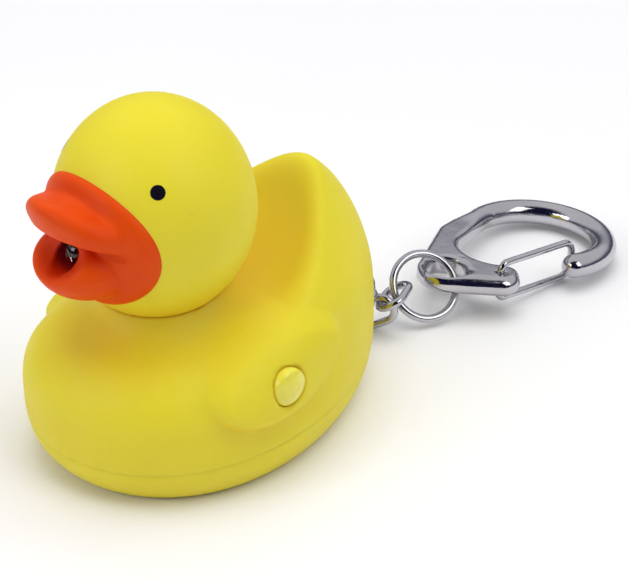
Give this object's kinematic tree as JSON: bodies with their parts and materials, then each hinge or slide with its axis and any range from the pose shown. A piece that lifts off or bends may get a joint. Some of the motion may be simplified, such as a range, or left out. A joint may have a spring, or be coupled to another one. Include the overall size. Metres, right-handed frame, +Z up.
{
  "type": "duck keychain with light",
  "caption": "Toy duck keychain with a light in its beak, a push button on one wing, a sealed sound module, a short chain and a wire-gate snap hook.",
  "frame": {"origin": "centre of the flat base face of the duck, on the surface it stands on", "axes": "+Z up, the duck faces -Y, the chain and hook leave along +Y, the push button is on the +X side"},
  "size_m": [0.0343, 0.0876, 0.0424],
  "materials": {
    "yellow_vinyl": "matte moulded yellow",
    "button_yellow": "smooth lighter yellow",
    "beak_orange": "satin orange red",
    "eye_black": "gloss black paint",
    "led_clear": "clear lens",
    "chrome_metal": "nickel-chrome plate",
    "steel": "plain steel",
    "board_brown": "phenolic board",
    "black_plastic": "black moulding",
    "cradle_white": "natural white moulding",
    "wire_red_black": "insulated wire"
  },
  "bodies": {
    "duck": {"body_shell": "yellow_vinyl", "base_cover": "yellow_vinyl", "cover_screws": "steel", "head_shell": "yellow_vinyl", "beak": "beak_orange", "eye_left": "eye_black", "eye_right": "eye_black", "led": "led_clear", "led_leads": "steel", "led_wires": "wire_red_black", "circuit_board": "board_brown", "sound_chip": "black_plastic", "switch_body": "black_plastic", "speaker_frame": "steel", "speaker_cone": "black_plastic", "speaker_wires": "wire_red_black", "cell_cradle": "cradle_white", "cell_1": "steel", "cell_2": "steel", "cell_3": "steel", "contact_positive": "steel", "contact_negative": "steel", "power_wires": "wire_red_black", "tail_eyelet": "chrome_metal"},
    "button": {"button": "button_yellow"},
    "plunger": {"switch_plunger": "black_plastic"},
    "link_1": {"chain_link_1": "chrome_metal"},
    "link_2": {"chain_link_2": "chrome_metal"},
    "link_3": {"chain_link_3": "chrome_metal"},
    "ring": {"jump_ring": "chrome_metal"},
    "hook": {"hook_body": "chrome_metal"},
    "gate": {"gate_wire": "chrome_metal"}
  },
  "joints": [
    {"name": "button_press", "type": "slide", "parent": "duck", "child": "button", "axis": [-1, 0, 0], "range_m": [0, 0.0004], "stiffness_N_per_m": 300},
    {"name": "switch_press", "type": "slide", "parent": "duck", "child": "plunger", "axis": [-1, 0, 0], "range_m": [0, 0.0004]},
    {"name": "eyelet_swing", "type": "hinge", "parent": "duck", "child": "link_1", "pos_m": [-0.00073, 0.02541, 0.006], "axis": [0.8746, 0.4848, 0], "range_deg": [-15, 70]},
    {"name": "link_2_swing", "type": "hinge", "parent": "link_1", "child": "link_2", "pos_m": [-0.00104, 0.02569, 0.00195], "axis": [0.3196, -0.9272, 0.1953], "range_deg": [-60, 5]},
    {"name": "link_3_swing", "type": "hinge", "parent": "link_2", "child": "link_3", "pos_m": [0.00193, 0.02712, 0.00446], "axis": [0.6359, 0.3432, -0.6912], "range_deg": [-10, 60]},
    {"name": "ring_swing", "type": "hinge", "parent": "link_3", "child": "ring", "pos_m": [-0.00072, 0.02958, 0.0039], "axis": [-0.0237, -0.9657, -0.2587], "range_deg": [-15, 30]},
    {"name": "hook_swing", "type": "hinge", "parent": "ring", "child": "hook", "pos_m": [0.00288, 0.03719, 0.00458], "axis": [-0.6445, 0.1107, 0.7565], "range_deg": [-10, 15]},
    {"name": "gate_open", "type": "hinge", "parent": "hook", "child": "gate", "pos_m": [0.0074, 0.04079, 0.00421], "axis": [0, 0.1045, 0.9945], "range_deg": [0, 35], "stiffness_Nm_per_rad": 0.002}
  ],
  "couplings": [
    {"joint": "switch_press", "follows": "button_press", "ratio": 1}
  ]
}
